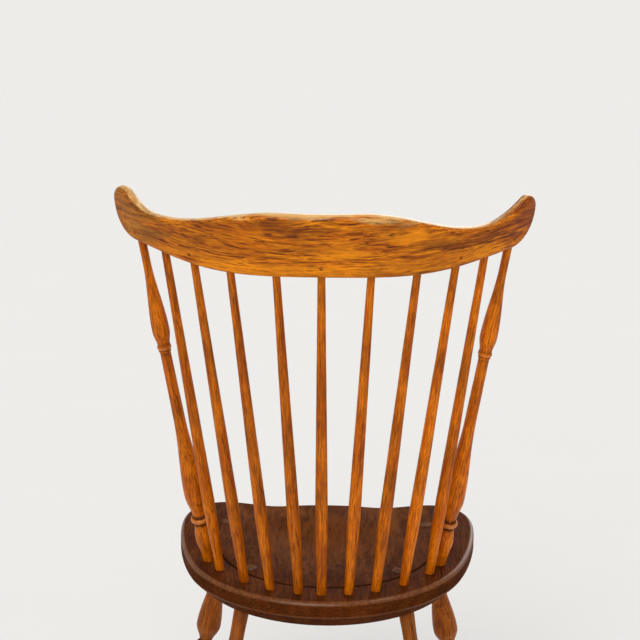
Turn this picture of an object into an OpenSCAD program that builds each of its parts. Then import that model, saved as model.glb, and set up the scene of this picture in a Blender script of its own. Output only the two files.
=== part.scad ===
// Fan-back Windsor side chair: a saddled plank seat on four raked, turned legs with an H of
// stretchers, and a raked back of nine tapered spindles and two turned posts under a bent crest.
// Millimetres. +Z is up, the chair faces -Y, and left is the sitter's left, +X.
// The seat is drawn in its own tilted plane, whose origin is the middle spindle's hole.
// The crest is drawn as a bent board: an arc distance, a height on its face and an offset from it.

/* [Seat] */
// Height of the spindle deck above the floor, at the middle spindle
seat_height = 422; // [390:1:460]
// Slope of the seat, higher at the front, in degrees
seat_tilt = 2.1; // [0:0.1:4]
// Thickness of the plank
seat_thick = 44; // [40:1:54]
// Greatest width
seat_width = 448; // [430:1:490]
// From the middle spindle to the front edge
seat_front = 343; // [325:1:370]
// From the middle spindle to the widest place
seat_widest_at = 266; // [245:1:285]
// Wood outside the line of the spindle holes
seat_rim = 30; // [26:1:36]
// How far round each side of the back the edge keeps to that line, in degrees
back_end = 60; // [54:1:64]
// How far the edge runs on straight from there, and towards the widest place, before it bends
side_pull = 55; // [45:1:65]
// How far the edge runs straight at the front corners' ends before it bends
corner_pull = 48; // [40:1:56]
// Half-width at which the front corners reach furthest forward
corner_at = 158; // [140:1:170]
// How far the front corners stand ahead of the front's middle
corner_ahead = 7; // [0:0.5:12]
// Depth of the saddle's hollow
dish_depth = 11; // [6:0.5:14]
// Depth of each thigh hollow at the front edge
thigh_depth = 5; // [2:0.5:8]
// From the middle to the centre of a thigh hollow
thigh_at = 92; // [75:1:105]
// Spread of each thigh hollow to each side of its centre
thigh_w = 46; // [38:1:54]
// Width of the flat deck inside the line of the spindle holes
deck_in = 20; // [16:1:26]
// Depth of the groove that borders the deck
gutter_depth = 1.5; // [1:0.25:2.5]
// Width of that groove
gutter_width = 5; // [3:0.5:7]
// How far round the deck the groove runs to each side, in degrees
gutter_end = 72; // [60:1:76]
// Rounding of the seat's upper edge
edge_round = 7; // [4:0.5:10]
// Depth at which the bevel under the edge starts
bevel_from = 23; // [18:1:28]
// How far the bevel runs in under the seat
bevel_in = 24; // [16:1:26]

/* [Back] */
// Length of the middle spindle from the seat to the crest, along the spindle
back_length = 474; // [430:1:520]
// Backward lean of the back, in degrees
back_lean = 16.2; // [12:0.1:19]
// Radius of the arc of holes in the seat
seat_arc_r = 178; // [172:1:190]
// From the middle spindle to a post, round the arc in the seat
post_arc_seat = 209.5; // [206:0.5:214]
// Pitch of the spindle holes in the seat, at the middle
pitch_seat = 34.2; // [32:0.1:35]
// How much the pitch in the seat opens out away from the middle
spread_seat = 0.56; // [0.4:0.01:0.6]
// From the middle spindle to a post, round the crest
post_arc_crest = 253; // [250:0.5:262]
// Pitch of the spindle holes in the crest, at the middle
pitch_crest = 58.8; // [56:0.1:59.5]
// How much the pitch in the crest closes up away from the middle
close_crest = 0.37; // [0.3:0.01:0.5]

/* [Crest rail] */
// Radius of the bend, at the middle of the board's thickness
crest_r = 340; // [320:1:370]
// Thickness of the board
crest_thick = 16; // [15:0.5:20]
// Width of the board at the middle
crest_mid_w = 80; // [70:0.5:90]
// Half-length of the level top at the middle
crest_flat = 42; // [30:1:60]
// From the middle to the dip before each ear, round the bend
dip_at = 217; // [206:1:227]
// Height of the board's upper edge at the dip
dip_w = 46.5; // [41:0.5:52]
// From the middle to the top of each ear, round the bend
ear_at = 281; // [274:1:288]
// Height of the ear's top
ear_h = 70; // [62:0.5:76]
// Angle before the ear's top at which its round begins
ear_turn = 39; // [30:1:50]
// From the middle to the end of each ear, round the bend
crest_end = 303; // [296:1:310]
// Height at which the ear reaches its end
ear_end_h = 50.5; // [44:0.5:56]
// How far the lower edge bellies down between the middle and the ears
belly = 4; // [0:0.1:5]
// From the middle to the lowest place of the belly, round the bend
belly_at = 126; // [110:1:140]
// From the middle to the place where the ear's underside starts to turn up
heel_at = 256; // [250:1:266]
// Height of the lower edge there
heel_h = 3.2; // [1.5:0.1:6]
// Rounding of the board's edges
crest_round = 7; // [3:0.5:7]

/* [Spindles] */
// Diameter at the seat, and of the tenon in it
spindle_foot_d = 13; // [11:0.25:14]
// Diameter at the swell
spindle_swell_d = 17; // [15:0.25:19]
// Height of the swell above the seat, along the spindle
spindle_swell_at = 118; // [90:1:150]
// Diameter at the crest, and of the tenon in it
spindle_top_d = 9.8; // [8.5:0.1:10.5]
// Straight length of a spindle outside each hole
spindle_plain = 8; // [4:1:12]
// Depth of the spindle holes in the seat
spindle_seat_depth = 29; // [22:1:32]
// Depth of the holes in the crest
crest_depth = 28; // [24:1:34]

/* [Posts] */
// Diameter of the tenon that passes through the seat
post_tenon_d = 17; // [15:0.5:19]
// Straight length above the seat
post_plain = 10; // [6:1:14]
// Diameter of the foot turning above the seat
post_foot_d = 24; // [21:0.5:27]
// Height of the foot turning's fullest place
post_foot_at = 42; // [38:1:46]
// Diameter of the lower ring
post_low_ring_d = 26; // [23:0.5:29]
// Height of the lower ring
post_low_ring_at = 74; // [70:1:78]
// Diameter of the neck on each side of the lower ring
post_low_neck_d = 19.5; // [17:0.5:21]
// Width of both rings
post_ring_w = 8; // [6:0.5:10]
// Width of the neck beside each ring
post_ring_neck = 3; // [2:0.5:5]
// Diameter of the lower vase
post_low_vase_d = 30; // [27:0.5:33]
// Height of the lower vase's fullest place
post_low_vase_at = 117; // [110:1:124]
// Diameter where the lower vase has run out
post_stem_d = 15.8; // [14.5:0.1:17.5]
// Height where the lower vase has run out
post_stem_at = 246; // [230:1:262]
// Diameter of the waist under the upper ring
post_waist_d = 14.2; // [13:0.1:15]
// Diameter of the upper ring
post_ring_d = 18.8; // [17:0.2:20.5]
// From the crest down to the upper ring
post_ring_down = 157; // [150:1:166]
// Diameter of the upper vase
post_vase_d = 23; // [21:0.5:25.5]
// From the crest down to the upper vase's fullest place
post_vase_down = 131; // [122:1:138]
// From the crest down to the place where the upper vase has run out
post_neck_down = 31; // [20:1:50]
// Diameter at the crest, and of the tenon in it
post_top_d = 10.4; // [9.4:0.1:11]

/* [Legs] */
// From the middle to a front leg's socket, across the seat
leg_front_x = 152; // [146:1:158]
// From the middle spindle to a front leg's socket
leg_front_y = 262; // [254:1:268]
// From the middle to a rear leg's socket, across the seat
leg_rear_x = 106; // [100:1:110]
// From the middle spindle to a rear leg's socket
leg_rear_y = 84; // [80:1:92]
// Outward splay of the front legs, in degrees
splay_front = 11; // [8:0.5:13]
// Forward rake of the front legs, in degrees
rake_front = 7; // [4:0.5:9]
// Outward splay of the rear legs, in degrees
splay_rear = 10; // [8:0.5:13]
// Backward rake of the rear legs, in degrees
rake_rear = 18; // [14:0.5:21]
// Diameter of the tenon that passes through the seat
leg_tenon_d = 22; // [20:0.5:24]
// Diameter where the leg meets the floor
leg_foot_d = 20; // [18:0.5:24]
// Straight length above the floor, and below the seat
leg_plain = 7; // [4:1:10]
// Diameter of the swell that holds the stretchers
leg_swell_d = 34; // [31:0.5:38]
// Diameter of the necks above that swell
leg_neck_d = 20; // [18:0.5:22]
// From the deck down the leg to the ring
leg_ring_down = 220; // [212:1:228]
// Diameter of the ring
leg_ring_d = 29; // [26:0.5:32]
// Width of the ring
leg_ring_w = 9; // [7:0.5:12]
// Width of the neck on each side of the ring
leg_ring_neck = 3; // [2:0.5:5]
// Diameter of the vase
leg_vase_d = 38; // [34:0.5:42]
// From the deck down the leg to the vase's fullest place
leg_vase_down = 184; // [176:1:192]
// From the deck down the leg to the place where the vase has run out
leg_stem_down = 95; // [86:1:106]

/* [Stretchers] */
// Height of the side stretchers above the floor
stretcher_height = 150; // [135:1:165]
// Diameter of the tenons at both ends of every stretcher
stretcher_tenon_d = 13; // [12:0.5:15]
// Diameter of the side stretchers at their middle
side_swell_d = 27; // [24:0.5:30]
// Diameter of the cross stretcher at its middle
cross_swell_d = 26; // [22:0.5:30]
// Diameter of the two rings on the cross stretcher
cross_ring_d = 21; // [19:0.5:24]
// Width of those rings
cross_ring_w = 8; // [6:0.5:10]
// From the cross stretcher's middle to each ring
cross_ring_at = 60; // [48:1:72]
// Straight length of a stretcher outside the piece it enters
stretcher_plain = 8; // [5:1:12]
// How far a stretcher's tenon runs past the axis of the piece it enters
tenon_past = 3; // [1:0.5:5]

/* [Joinery] */
// Glue gap all round each tenon, peg and wedge
glue_gap = 0.1; // [0.05:0.01:0.15]
// Room left below the end of a tenon in a blind hole
end_room = 1; // [0.5:0.25:2]
// Diameter of the pegs through the crest
peg_d = 5; // [4:0.25:6]
// Height of the pegs above the crest's lower edge
peg_rise = 14; // [12:0.5:16]
// Thickness of the wedges at their outer end
wedge_thick = 4; // [3:0.25:5]
// Thickness of the wedges at their point
wedge_point = 1; // [0.5:0.25:1.5]
// Length of the wedges
wedge_length = 26; // [20:1:30]
// How far the trimmed through tenons lie below the surface round them
trim = 2; // [1.5:0.25:3]

/* [Hidden] */

$fn = 64;
oak = [0.72, 0.42, 0.16];
oak_dark = [0.45, 0.24, 0.10];
plank = [0.42, 0.20, 0.11];

// Directions of the chair's two sides
LEFT = 1;
RIGHT = -1;

// Number of spindles, and the one at the middle
spindles = 9;
middle = (spindles + 1) / 2;

// Spindles that are pegged in the crest: the middle one and the second from each end
pegged = [2, middle, spindles - 1];

// Steps along curves
ease_steps = 10;
bead_steps = 8;
seat_steps = 12;
crest_step = 10;
heel_steps = 7;
end_steps = 7;
round_steps = 3;

// How far short of the ear's end the last section of the crest lies
end_facet = 0.2;

// Turn of each leg's profile about its axis
seam_turn = 90;

// Room beyond the solids for tools that cut through them
past = 5;
reach = seat_width + seat_front;

// Smooth change from 0 to 1 as x goes from 0 to 1
function ease(x) = (1 - cos(180 * max(0, min(1, x)))) / 2;

// Height between a and b as x goes from x0 to x1
function between(x, x0, x1, a, b) = a + (b - a) * ease((x - x0) / (x1 - x0));

// Point at t on the curve from a to d, drawn towards b and c
function bezier(a, b, c, d, t) =
    pow(1 - t, 3) * a + 3 * t * pow(1 - t, 2) * b + 3 * t * t * (1 - t) * c + t * t * t * d;

function unit(v) = v / norm(v);

// Angle of an arc distance on a radius, in degrees
function arc_angle(distance, radius) = distance / radius * 180 / PI;

// Stands its children up along the line from one point to another
module along(from, to) {
    d = unit(to - from);
    translate(from) rotate([0, acos(d.z), atan2(d.y, d.x)]) children();
}

// Seat plane: x across, y back, z up from the deck
function on_seat(x, y, z = 0) = [
    x,
    y * cos(seat_tilt) + z * sin(seat_tilt),
    seat_height - y * sin(seat_tilt) + z * cos(seat_tilt)
];

module in_seat() {
    translate([0, 0, seat_height]) rotate([-seat_tilt, 0, 0]) children();
}

// Crest board: s round the bend, u up the face, n out of the back face from the mid thickness
function in_board(s, u, n = 0) = [
    (crest_r + n) * sin(arc_angle(s, crest_r)),
    (crest_r + n) * cos(arc_angle(s, crest_r)) - crest_r,
    u
];

function on_crest(s, u, n = 0) =
    let (p = in_board(s, u, n)) [
        p.x,
        (back_length + p.z) * sin(back_lean) + p.y * cos(back_lean),
        seat_height + (back_length + p.z) * cos(back_lean) - p.y * sin(back_lean)
    ];

// The round of the ear's top, and the rise to it from the dip as x goes from 0 to 1
ear_long = crest_end - ear_at;
ear_tall = ear_h - ear_end_h;
ear_from = ear_at - ear_long * sin(ear_turn);
ear_from_h = ear_end_h + ear_tall * cos(ear_turn);
ear_slope = ear_tall / ear_long * tan(ear_turn) * (ear_from - dip_at);
function ear_rise(x) = dip_w + (ear_from_h - dip_w) * (3 - 2 * x) * x * x + ear_slope * (x - 1) * x * x;

// Upper and lower edges of the crest board, by arc distance from the middle
function crest_top(s) =
    s < dip_at ? between(s, crest_flat, dip_at, crest_mid_w, dip_w)
    : s < ear_from ? ear_rise((s - dip_at) / (ear_from - dip_at))
    : ear_end_h + ear_tall * sqrt(max(0, 1 - pow((s - ear_at) / ear_long, 2)));

function crest_low(s) =
    s < belly_at ? between(s, 0, belly_at, 0, -belly)
    : s < heel_at ? between(s, belly_at, heel_at, -belly, heel_h)
    : ear_end_h - (ear_end_h - heel_h) * sqrt(max(0, 1 - pow((s - heel_at) / (crest_end - heel_at), 2)));

// Section of the board at arc distance s: rounded at its edges, and thinned where the ear ends
function crest_section(s) =
    let (
        a = abs(s),
        low = crest_low(a),
        top = crest_top(a),
        from_end = min(crest_round, crest_end - a),
        thin = crest_round - sqrt(pow(crest_round, 2) - pow(crest_round - from_end, 2)),
        half = crest_thick / 2 - thin,
        r = min(crest_round, half, (top - low) / 2),
        turn = 90 / round_steps
    ) concat(
        [for (i = [0 : round_steps]) on_crest(s, low + r - r * cos(i * turn), half - r + r * sin(i * turn))],
        [for (i = [0 : round_steps]) on_crest(s, top - r + r * sin(i * turn), half - r + r * cos(i * turn))],
        [for (i = [0 : round_steps]) on_crest(s, top - r + r * cos(i * turn), r - half - r * sin(i * turn))],
        [for (i = [0 : round_steps]) on_crest(s, low + r - r * sin(i * turn), r - half - r * cos(i * turn))]
    );

// Arc distances of the sections, closer together round the ends of the ears
straight_sections = ceil(heel_at / crest_step);
half_stations = concat(
    [for (i = [1 : straight_sections]) heel_at * i / straight_sections],
    [for (i = [1 : heel_steps]) heel_at + (ear_at - heel_at) * i / heel_steps],
    [for (i = [1 : end_steps]) ear_at + ear_long * sin(i * 90 / (end_steps + 1))],
    [crest_end - end_facet]
);
crest_stations = concat(
    [for (i = [len(half_stations) - 1 : -1 : 0]) -half_stations[i]],
    [0],
    half_stations
);

// Outline of the seat's left half, from the middle of the back round to the middle of the front
back_r = seat_arc_r + seat_rim;
widest = [seat_width / 2, -seat_widest_at];
corner = [corner_at, -seat_front - corner_ahead];
shoulder = [back_r * sin(back_end), back_r * cos(back_end) - seat_arc_r];
half_outline = concat(
    [for (i = [0 : seat_steps - 1])
        let (a = back_end * i / seat_steps) [back_r * sin(a), back_r * cos(a) - seat_arc_r]],
    [for (i = [0 : seat_steps - 1])
        bezier(shoulder, shoulder + side_pull * [cos(back_end), -sin(back_end)],
               widest + [0, side_pull], widest, i / seat_steps)],
    [for (i = [0 : seat_steps - 1])
        bezier(widest, widest - [0, corner_pull], corner + [corner_pull, 0], corner, i / seat_steps)],
    [for (i = [0 : seat_steps])
        let (x = corner.x * (1 - i / seat_steps))
            [x, -seat_front - corner_ahead * ease(x / corner.x)]]
);
outline = concat(
    half_outline,
    [for (i = [len(half_outline) - 2 : -1 : 1]) [-half_outline[i].x, half_outline[i].y]]
);
seat_mid = [0, -seat_arc_r];

// Height of the carved top at p, which lies at a share f of the way from the seat's middle out
deck_from = (seat_arc_r - deck_in) / back_r;
function carved(p, f) =
    -dish_depth * (1 - ease(f / deck_from))
    - thigh_depth * ease((-p.y - seat_arc_r) / (seat_front - seat_arc_r))
        * exp(-pow((abs(p.x) - thigh_at) / thigh_w, 2));

// A ring of points on the carved top, and one round the edge, drawn in and down from the rim
function top_ring(f) = [for (q = outline)
    let (p = seat_mid + f * (q - seat_mid - edge_round * unit(q - seat_mid))) [p.x, p.y, carved(p, f)]];
function edge_ring(inset, drop) = [for (q = outline)
    let (p = q - inset * unit(q - seat_mid)) [p.x, p.y, carved(q, 1) - drop]];
function level_ring(inset, z) = [for (q = outline)
    let (p = q - inset * unit(q - seat_mid)) [p.x, p.y, z]];

top_shares = [0.14, 0.28, 0.4, 0.5, 0.6, 0.68, deck_from, 0.84, 0.92, 1];
seat_rings = concat(
    [for (f = top_shares) top_ring(f)],
    [for (i = [1 : round_steps])
        let (a = i * 90 / round_steps) edge_ring(edge_round * (1 - sin(a)), edge_round * (1 - cos(a)))],
    [level_ring(0, -bevel_from), level_ring(bevel_in, -seat_thick)]
);

// Closed skin over rings of points that all have the same number of points
function skin(rings, count) = [
    for (k = [0 : len(rings) - 2]) for (i = [0 : count - 1])
        let (a = k * count + i, b = k * count + (i + 1) % count)
            each [[a, b, b + count], [a, b + count, a + count]]
];
function flat_points(rings) = [for (ring = rings) each ring];

// Holes of the back, as spindle numbers 1 to 9 with the posts at 0 and 10, from the left
function steps_out(i) = middle - i;
function seat_arc(i) =
    let (k = steps_out(i))
        abs(k) == middle ? sign(k) * post_arc_seat : pitch_seat * k + spread_seat * pow(k, 3);
function crest_arc(i) =
    let (k = steps_out(i))
        abs(k) == middle ? sign(k) * post_arc_crest : pitch_crest * k - close_crest * pow(k, 3);
function foot_of(i) =
    let (a = arc_angle(seat_arc(i), seat_arc_r)) on_seat(seat_arc_r * sin(a), seat_arc_r * (cos(a) - 1));
function peg_u(i) = crest_low(abs(crest_arc(i))) + peg_rise;
function head_of(i) = on_crest(crest_arc(i), peg_u(i));
function back_span(i) = norm(head_of(i) - foot_of(i));
post_left_i = 0;
post_right_i = spindles + 1;

// How far a spindle or post runs past its peg into the crest
past_peg = crest_depth - peg_rise - end_room;

// Leg lines from the deck to the floor, with the sockets placed in the seat plane
function leg_top(side, front) =
    front ? on_seat(side * leg_front_x, -leg_front_y) : on_seat(side * leg_rear_x, -leg_rear_y);
function leg_down(side, front) =
    front ? [side * tan(splay_front), -tan(rake_front), -1] : [side * tan(splay_rear), tan(rake_rear), -1];
function leg_foot(side, front) =
    let (top = leg_top(side, front)) top + leg_down(side, front) * top.z;
function leg_at(side, front, z) =
    let (top = leg_top(side, front)) top + leg_down(side, front) * (top.z - z);

// Stretcher lines, from leg axis to leg axis and from side stretcher to side stretcher
function side_end(side, front) = leg_at(side, front, stretcher_height);
function side_middle(side) = (side_end(side, true) + side_end(side, false)) / 2;

// The front edge and the back of the crest set the chair's depth, which is centred on the origin
rear_most = max([for (p = crest_section(0)) p.y]);
front_most = min([for (ring = seat_rings) for (p = ring) on_seat(p.x, p.y, p.z).y]);
centre_y = -(rear_most + front_most) / 2;

module placed() {
    translate([0, centre_y, 0]) children();
}

// Outlines of turned work: lists of [radius, height]
function turned_ease(h0, r0, h1, r1) =
    [for (i = [1 : ease_steps]) [r0 + (r1 - r0) * ease(i / ease_steps), h0 + (h1 - h0) * i / ease_steps]];
function turned_bead(h, r, core, w) =
    [for (i = [0 : bead_steps])
        [core + (r - core) * sin(180 * i / bead_steps), h - w / 2 * cos(180 * i / bead_steps)]];

module turned(bottom, points, top) {
    rotate_extrude() polygon(concat([[0, bottom]], points, [[0, top]]));
}

module spindle_shape(span) {
    top = span + past_peg;
    bottom = -(spindle_seat_depth - end_room);
    foot_r = spindle_foot_d / 2;
    top_r = spindle_top_d / 2;
    turned(bottom, concat(
        [[foot_r, bottom], [foot_r, spindle_plain]],
        turned_ease(spindle_plain, foot_r, spindle_swell_at, spindle_swell_d / 2),
        [[top_r, span - peg_rise - spindle_plain], [top_r, top]]
    ), top);
}

module post_shape(span) {
    top = span + past_peg;
    bottom = -seat_thick * 2;
    tenon_r = post_tenon_d / 2;
    ring_half = post_ring_w / 2;
    ring_side = ring_half + post_ring_neck;
    low_neck_r = post_low_neck_d / 2;
    waist_r = post_waist_d / 2;
    top_r = post_top_d / 2;
    ring_core = (post_waist_d + post_ring_d) / 4;
    crest_at = span - peg_rise;
    ring_at = crest_at - post_ring_down;
    vase_at = crest_at - post_vase_down;
    turned(bottom, concat(
        [[tenon_r, bottom], [tenon_r, post_plain]],
        turned_ease(post_plain, tenon_r, post_foot_at, post_foot_d / 2),
        turned_ease(post_foot_at, post_foot_d / 2, post_low_ring_at - ring_side, low_neck_r),
        turned_bead(post_low_ring_at, post_low_ring_d / 2, low_neck_r, post_ring_w),
        [[low_neck_r, post_low_ring_at + ring_side]],
        turned_ease(post_low_ring_at + ring_side, low_neck_r, post_low_vase_at, post_low_vase_d / 2),
        turned_ease(post_low_vase_at, post_low_vase_d / 2, post_stem_at, post_stem_d / 2),
        [[waist_r, ring_at - ring_side]],
        turned_bead(ring_at - ring_half, ring_core, waist_r, post_ring_neck),
        turned_bead(ring_at + post_ring_neck / 2, post_ring_d / 2, ring_core, post_ring_w - post_ring_neck),
        turned_ease(ring_at + ring_half, ring_core, vase_at, post_vase_d / 2),
        turned_ease(vase_at, post_vase_d / 2, crest_at - post_neck_down, top_r),
        [[top_r, top]]
    ), top);
}

// A leg from the floor to the deck, with its swell where the stretchers enter it
module leg_shape(length, swell_at, in_seat_length) {
    tenon_r = leg_tenon_d / 2;
    neck_r = leg_neck_d / 2;
    ring_side = leg_ring_w / 2 + leg_ring_neck;
    ring_at = length - leg_ring_down;
    vase_at = length - leg_vase_down;
    stem_at = length - leg_stem_down;
    turned(-leg_plain, concat(
        [[leg_foot_d / 2, -leg_plain], [leg_foot_d / 2, leg_plain]],
        turned_ease(leg_plain, leg_foot_d / 2, swell_at, leg_swell_d / 2),
        turned_ease(swell_at, leg_swell_d / 2, ring_at - ring_side, neck_r),
        turned_bead(ring_at, leg_ring_d / 2, neck_r, leg_ring_w),
        [[neck_r, ring_at + ring_side]],
        turned_ease(ring_at + ring_side, neck_r, vase_at, leg_vase_d / 2),
        turned_ease(vase_at, leg_vase_d / 2, stem_at, neck_r),
        turned_ease(stem_at, neck_r, length - in_seat_length - leg_plain, tenon_r),
        [[tenon_r, length + past * 2]]
    ), length + past * 2);
}

// A wedge's solid, point down, filling a tenon of the given diameter from z = 0 downwards
module wedge_shape(d, gap) {
    thick = wedge_thick / 2 - gap;
    point = wedge_point / 2 - gap;
    rotate([90, 0, 0]) linear_extrude(d, center = true)
        polygon([[-point, gap - wedge_length], [point, gap - wedge_length], [thick, past], [-thick, past]]);
}

// Frame at the trimmed end of a leg tenon or post tenon, pointing out of the seat
module at_leg_top(side, front) {
    top = leg_top(side, front);
    along(top + unit(leg_down(side, front)) * trim, top - leg_down(side, front)) children();
}

function post_out(side) = side == LEFT ? post_left_i : post_right_i;
function post_exit(side) =
    let (a = foot_of(post_out(side)), d = unit(a - head_of(post_out(side)))) a + d * seat_thick / cos(back_lean);

module at_post_end(side) {
    along(post_exit(side), post_exit(side) + foot_of(post_out(side)) - head_of(post_out(side))) children();
}

// Everything above the trimmed level of the tenons on top of the seat, and below it underneath
module above_seat() {
    in_seat() translate([-reach, -reach, -trim]) cube([2 * reach, 2 * reach, reach]);
}

module below_seat() {
    in_seat() translate([-reach, -reach, trim - seat_thick - reach]) cube([2 * reach, 2 * reach, reach]);
}

module below_floor() {
    translate([-reach, -reach, -reach]) cube([2 * reach, 2 * reach, reach]);
}

module peg_hole(i, gap) {
    s = crest_arc(i);
    u = peg_u(i);
    room = gap > 0 ? past : -glue_gap;
    along(on_crest(s, u, -crest_thick / 2 - room), on_crest(s, u, crest_thick / 2 + room))
        cylinder(d = peg_d + 2 * gap, h = crest_thick + 2 * room);
}

function is_pegged(i) = i == post_left_i || i == post_right_i || len(search(i, pegged)) > 0;

module crest_rail() {
    rings = [for (s = crest_stations) crest_section(s)];
    count = len(rings[0]);
    last = len(rings) * count;
    color(oak) placed() difference() {
        polyhedron(flat_points(rings), concat(
            [[for (i = [count - 1 : -1 : 0]) i]],
            skin(rings, count),
            [[for (i = [0 : count - 1]) last - count + i]]
        ));
        for (i = [0 : spindles + 1]) {
            d = i == post_left_i || i == post_right_i ? post_top_d : spindle_top_d;
            along(head_of(i), foot_of(i)) translate([0, 0, peg_rise - crest_depth])
                cylinder(d = d + 2 * glue_gap, h = crest_depth + crest_mid_w);
        }
        for (i = [0 : spindles + 1]) if (is_pegged(i)) peg_hole(i, glue_gap);
    }
}

module spindle(i) {
    color(oak) placed() difference() {
        along(foot_of(i), head_of(i)) spindle_shape(back_span(i));
        if (is_pegged(i)) peg_hole(i, glue_gap);
    }
}

module post(side) {
    i = post_out(side);
    color(oak) placed() difference() {
        along(foot_of(i), head_of(i)) post_shape(back_span(i));
        below_seat();
        peg_hole(i, glue_gap);
        at_post_end(side) wedge_shape(post_tenon_d * 2, 0);
    }
}

// Vee groove round the inner edge of the deck
module gutter() {
    slope = gutter_width / 2 / gutter_depth;
    translate([0, seat_mid.y, 0]) rotate([0, 0, 90 - gutter_end]) rotate_extrude(angle = 2 * gutter_end)
        translate([seat_arc_r - deck_in, -gutter_depth])
            polygon([[0, 0], [slope * (gutter_depth + past), gutter_depth + past],
                     [-slope * (gutter_depth + past), gutter_depth + past]]);
}

module seat() {
    rings = seat_rings;
    count = len(outline);
    points = concat([[0, seat_mid.y, carved(seat_mid, 0)]], flat_points(rings), [[0, seat_mid.y, -seat_thick]]);
    last = len(points) - 1;
    color(plank) placed() difference() {
        in_seat() polyhedron(points, concat(
            [for (i = [0 : count - 1]) [0, 1 + (i + 1) % count, 1 + i]],
            [for (f = skin(rings, count)) [f[2] + 1, f[1] + 1, f[0] + 1]],
            [for (i = [0 : count - 1]) [last, last - count + i, last - count + (i + 1) % count]]
        ));
        in_seat() gutter();
        for (i = [1 : spindles]) along(foot_of(i), head_of(i))
            translate([0, 0, -spindle_seat_depth])
                cylinder(d = spindle_foot_d + 2 * glue_gap, h = 2 * spindle_seat_depth);
        for (side = [LEFT, RIGHT]) {
            i = post_out(side);
            along(foot_of(i), head_of(i)) translate([0, 0, -2 * seat_thick])
                cylinder(d = post_tenon_d + 2 * glue_gap, h = 4 * seat_thick);
            for (front = [true, false])
                along(leg_top(side, front) + leg_down(side, front) * 2 * seat_thick, leg_top(side, front))
                    cylinder(d = leg_tenon_d + 2 * glue_gap, h = 4 * seat_thick);
        }
    }
}

module leg(side, front) {
    foot = leg_foot(side, front);
    top = leg_top(side, front);
    per_height = norm(leg_down(side, front));
    color(oak_dark) placed() difference() {
        along(foot, top) rotate([0, 0, seam_turn])
            leg_shape(norm(top - foot), stretcher_height * per_height, seat_thick * per_height);
        above_seat();
        below_floor();
        at_leg_top(side, front) wedge_shape(leg_tenon_d * 2, 0);
        along(side_end(side, front), side_end(side, !front)) translate([0, 0, -tenon_past - end_room])
            cylinder(d = stretcher_tenon_d + 2 * glue_gap, h = leg_swell_d + tenon_past);
    }
}

// Stretcher between two axes: tenons at both ends and a swell at the middle
module stretcher_shape(span, swell_d, clear, rings_at) {
    tenon_r = stretcher_tenon_d / 2;
    mid = span / 2;
    core = (swell_d + stretcher_tenon_d) / 4;
    half = rings_at > 0
        ? concat(
            turned_ease(clear, tenon_r, mid - rings_at - cross_ring_w / 2, core),
            turned_bead(mid - rings_at, cross_ring_d / 2, core, cross_ring_w),
            turned_ease(mid - rings_at + cross_ring_w / 2, core, mid, swell_d / 2))
        : turned_ease(clear, tenon_r, mid, swell_d / 2);
    turned(-tenon_past, concat(
        [[tenon_r, -tenon_past], [tenon_r, clear]],
        half,
        [for (i = [len(half) - 2 : -1 : 0]) [half[i][0], span - half[i][1]]],
        [[tenon_r, span - clear], [tenon_r, span + tenon_past]]
    ), span + tenon_past);
}

module side_stretcher(side) {
    from = side_end(side, true);
    to = side_end(side, false);
    color(oak_dark) placed() difference() {
        along(from, to) stretcher_shape(norm(to - from), side_swell_d, leg_swell_d / 2 + stretcher_plain, 0);
        along(side_middle(side), side_middle(-side)) translate([0, 0, -tenon_past - end_room])
            cylinder(d = stretcher_tenon_d + 2 * glue_gap, h = side_swell_d + tenon_past);
    }
}

module cross_stretcher() {
    from = side_middle(RIGHT);
    to = side_middle(LEFT);
    color(oak_dark) placed() along(from, to)
        stretcher_shape(norm(to - from), cross_swell_d, side_swell_d / 2 + stretcher_plain, cross_ring_at);
}

module crest_pegs() {
    color(oak_dark) placed() for (i = [0 : spindles + 1]) if (is_pegged(i)) peg_hole(i, 0);
}

module leg_wedges() {
    color(oak) placed() difference() {
        for (side = [LEFT, RIGHT]) for (front = [true, false])
            intersection() {
                at_leg_top(side, front) wedge_shape(leg_tenon_d * 2, glue_gap);
                along(leg_foot(side, front), leg_top(side, front))
                    cylinder(d = leg_tenon_d, h = 2 * norm(leg_top(side, front) - leg_foot(side, front)));
            }
        above_seat();
    }
}

module post_wedges() {
    color(oak) placed() difference() {
        for (side = [LEFT, RIGHT])
            intersection() {
                at_post_end(side) wedge_shape(post_tenon_d * 2, glue_gap);
                along(foot_of(post_out(side)), head_of(post_out(side))) translate([0, 0, -2 * seat_thick])
                    cylinder(d = post_tenon_d, h = 2 * seat_thick);
            }
        below_seat();
    }
}

crest_rail();
spindle(1);  // spindle_1
spindle(2);  // spindle_2
spindle(3);  // spindle_3
spindle(4);  // spindle_4
spindle(5);  // spindle_5
spindle(6);  // spindle_6
spindle(7);  // spindle_7
spindle(8);  // spindle_8
spindle(9);  // spindle_9
post(LEFT);  // post_left
post(RIGHT);  // post_right
seat();
leg(LEFT, true);  // leg_front_left
leg(RIGHT, true);  // leg_front_right
leg(LEFT, false);  // leg_rear_left
leg(RIGHT, false);  // leg_rear_right
side_stretcher(LEFT);  // side_stretcher_left
side_stretcher(RIGHT);  // side_stretcher_right
cross_stretcher();
crest_pegs();
leg_wedges();
post_wedges();
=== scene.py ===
from math import atan2, copysign, cos, degrees, exp, hypot, pi, radians, sin, sqrt, tan

import bmesh
import bpy
from mathutils import Matrix, Vector, noise
from mathutils.bvhtree import BVHTree


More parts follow.
